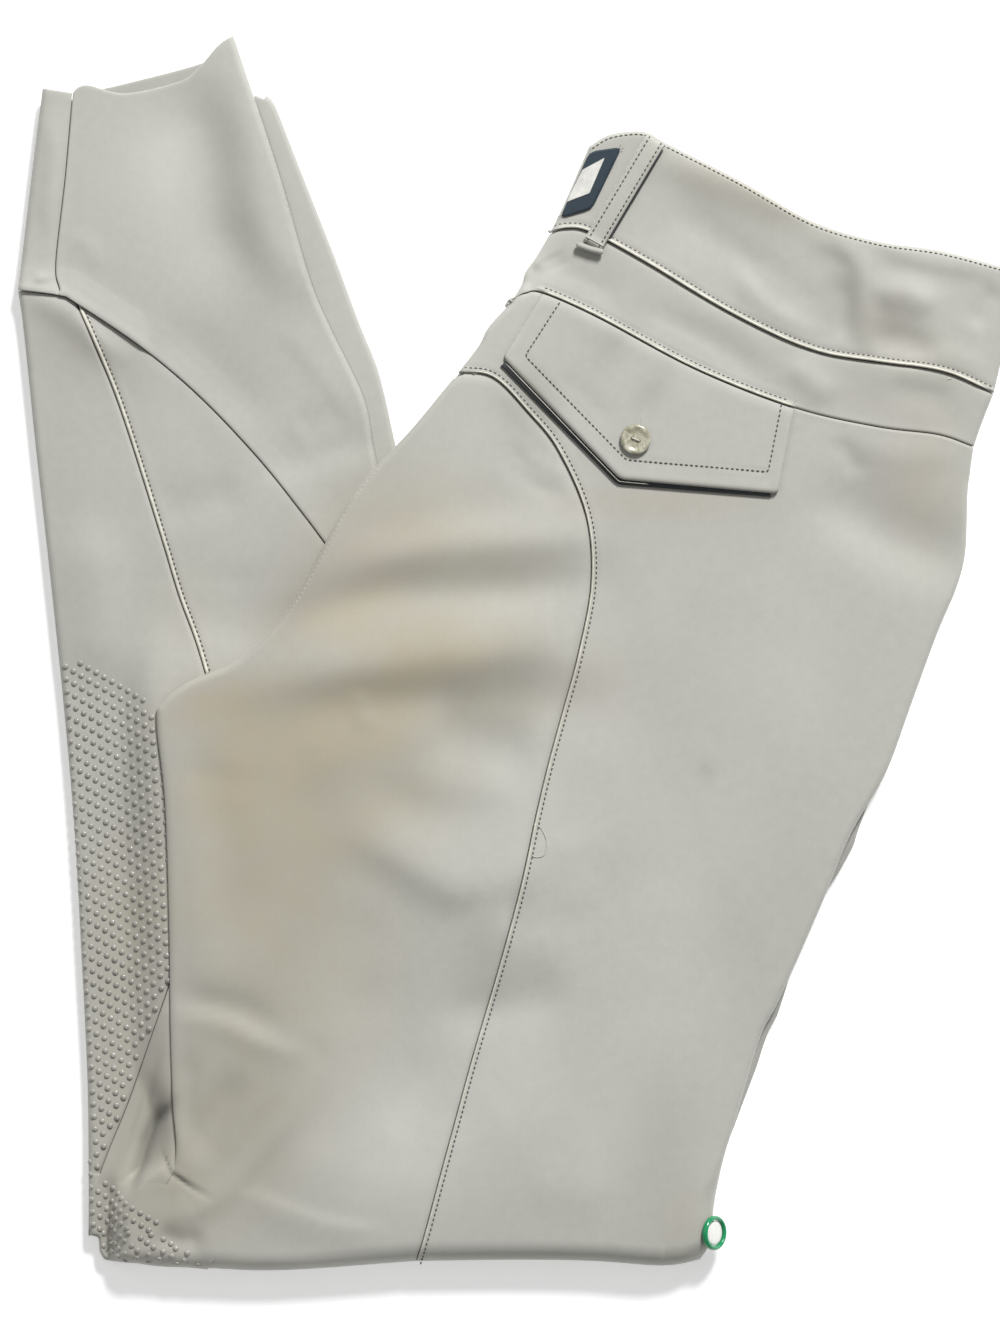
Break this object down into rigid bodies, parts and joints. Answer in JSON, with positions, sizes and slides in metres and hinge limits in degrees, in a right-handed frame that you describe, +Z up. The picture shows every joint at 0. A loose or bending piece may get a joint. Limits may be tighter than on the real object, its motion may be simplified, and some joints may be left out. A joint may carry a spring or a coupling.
{
  "type": "riding breeches",
  "caption": "Light beige-grey stretch riding breeches, folded in half lengthwise with the lower legs turned under at the knee and lying flat.",
  "frame": {"origin": "middle of the folded bundle's footprint, on the surface it lies on", "axes": "+Z up from the surface; +Y from the fold at the knees to the waist and the ankle hems; +X from the centre-back fold to the outseams"},
  "size_m": [0.4159, 0.5126, 0.0191],
  "materials": {
    "breeches_cloth": "matte",
    "label_navy": "satin",
    "label_pale": "satin",
    "pearl_button": "gloss",
    "badge_rim": "gloss",
    "badge_face": "gloss"
  },
  "bodies": {
    "root": {"hidden_layers": "breeches_cloth", "waistband_back_right": "breeches_cloth", "yoke_right": "breeches_cloth", "seat_panel_right": "breeches_cloth", "outer_back_panel_right": "breeches_cloth", "ankle_strip_left": "breeches_cloth", "ankle_panel_left": "breeches_cloth", "ankle_back_left": "breeches_cloth", "calf_panel_left": "breeches_cloth", "inner_calf_panel_left": "breeches_cloth", "knee_side_panel_left": "breeches_cloth", "calf_fold_right": "breeches_cloth", "pocket_flap_right": "breeches_cloth", "belt_loop_back": "breeches_cloth", "back_label": "label_navy", "back_label_field": "label_pale", "pocket_button": "pearl_button", "knee_badge_rim": "badge_rim", "knee_badge_face": "badge_face"}
  },
  "joints": []
}
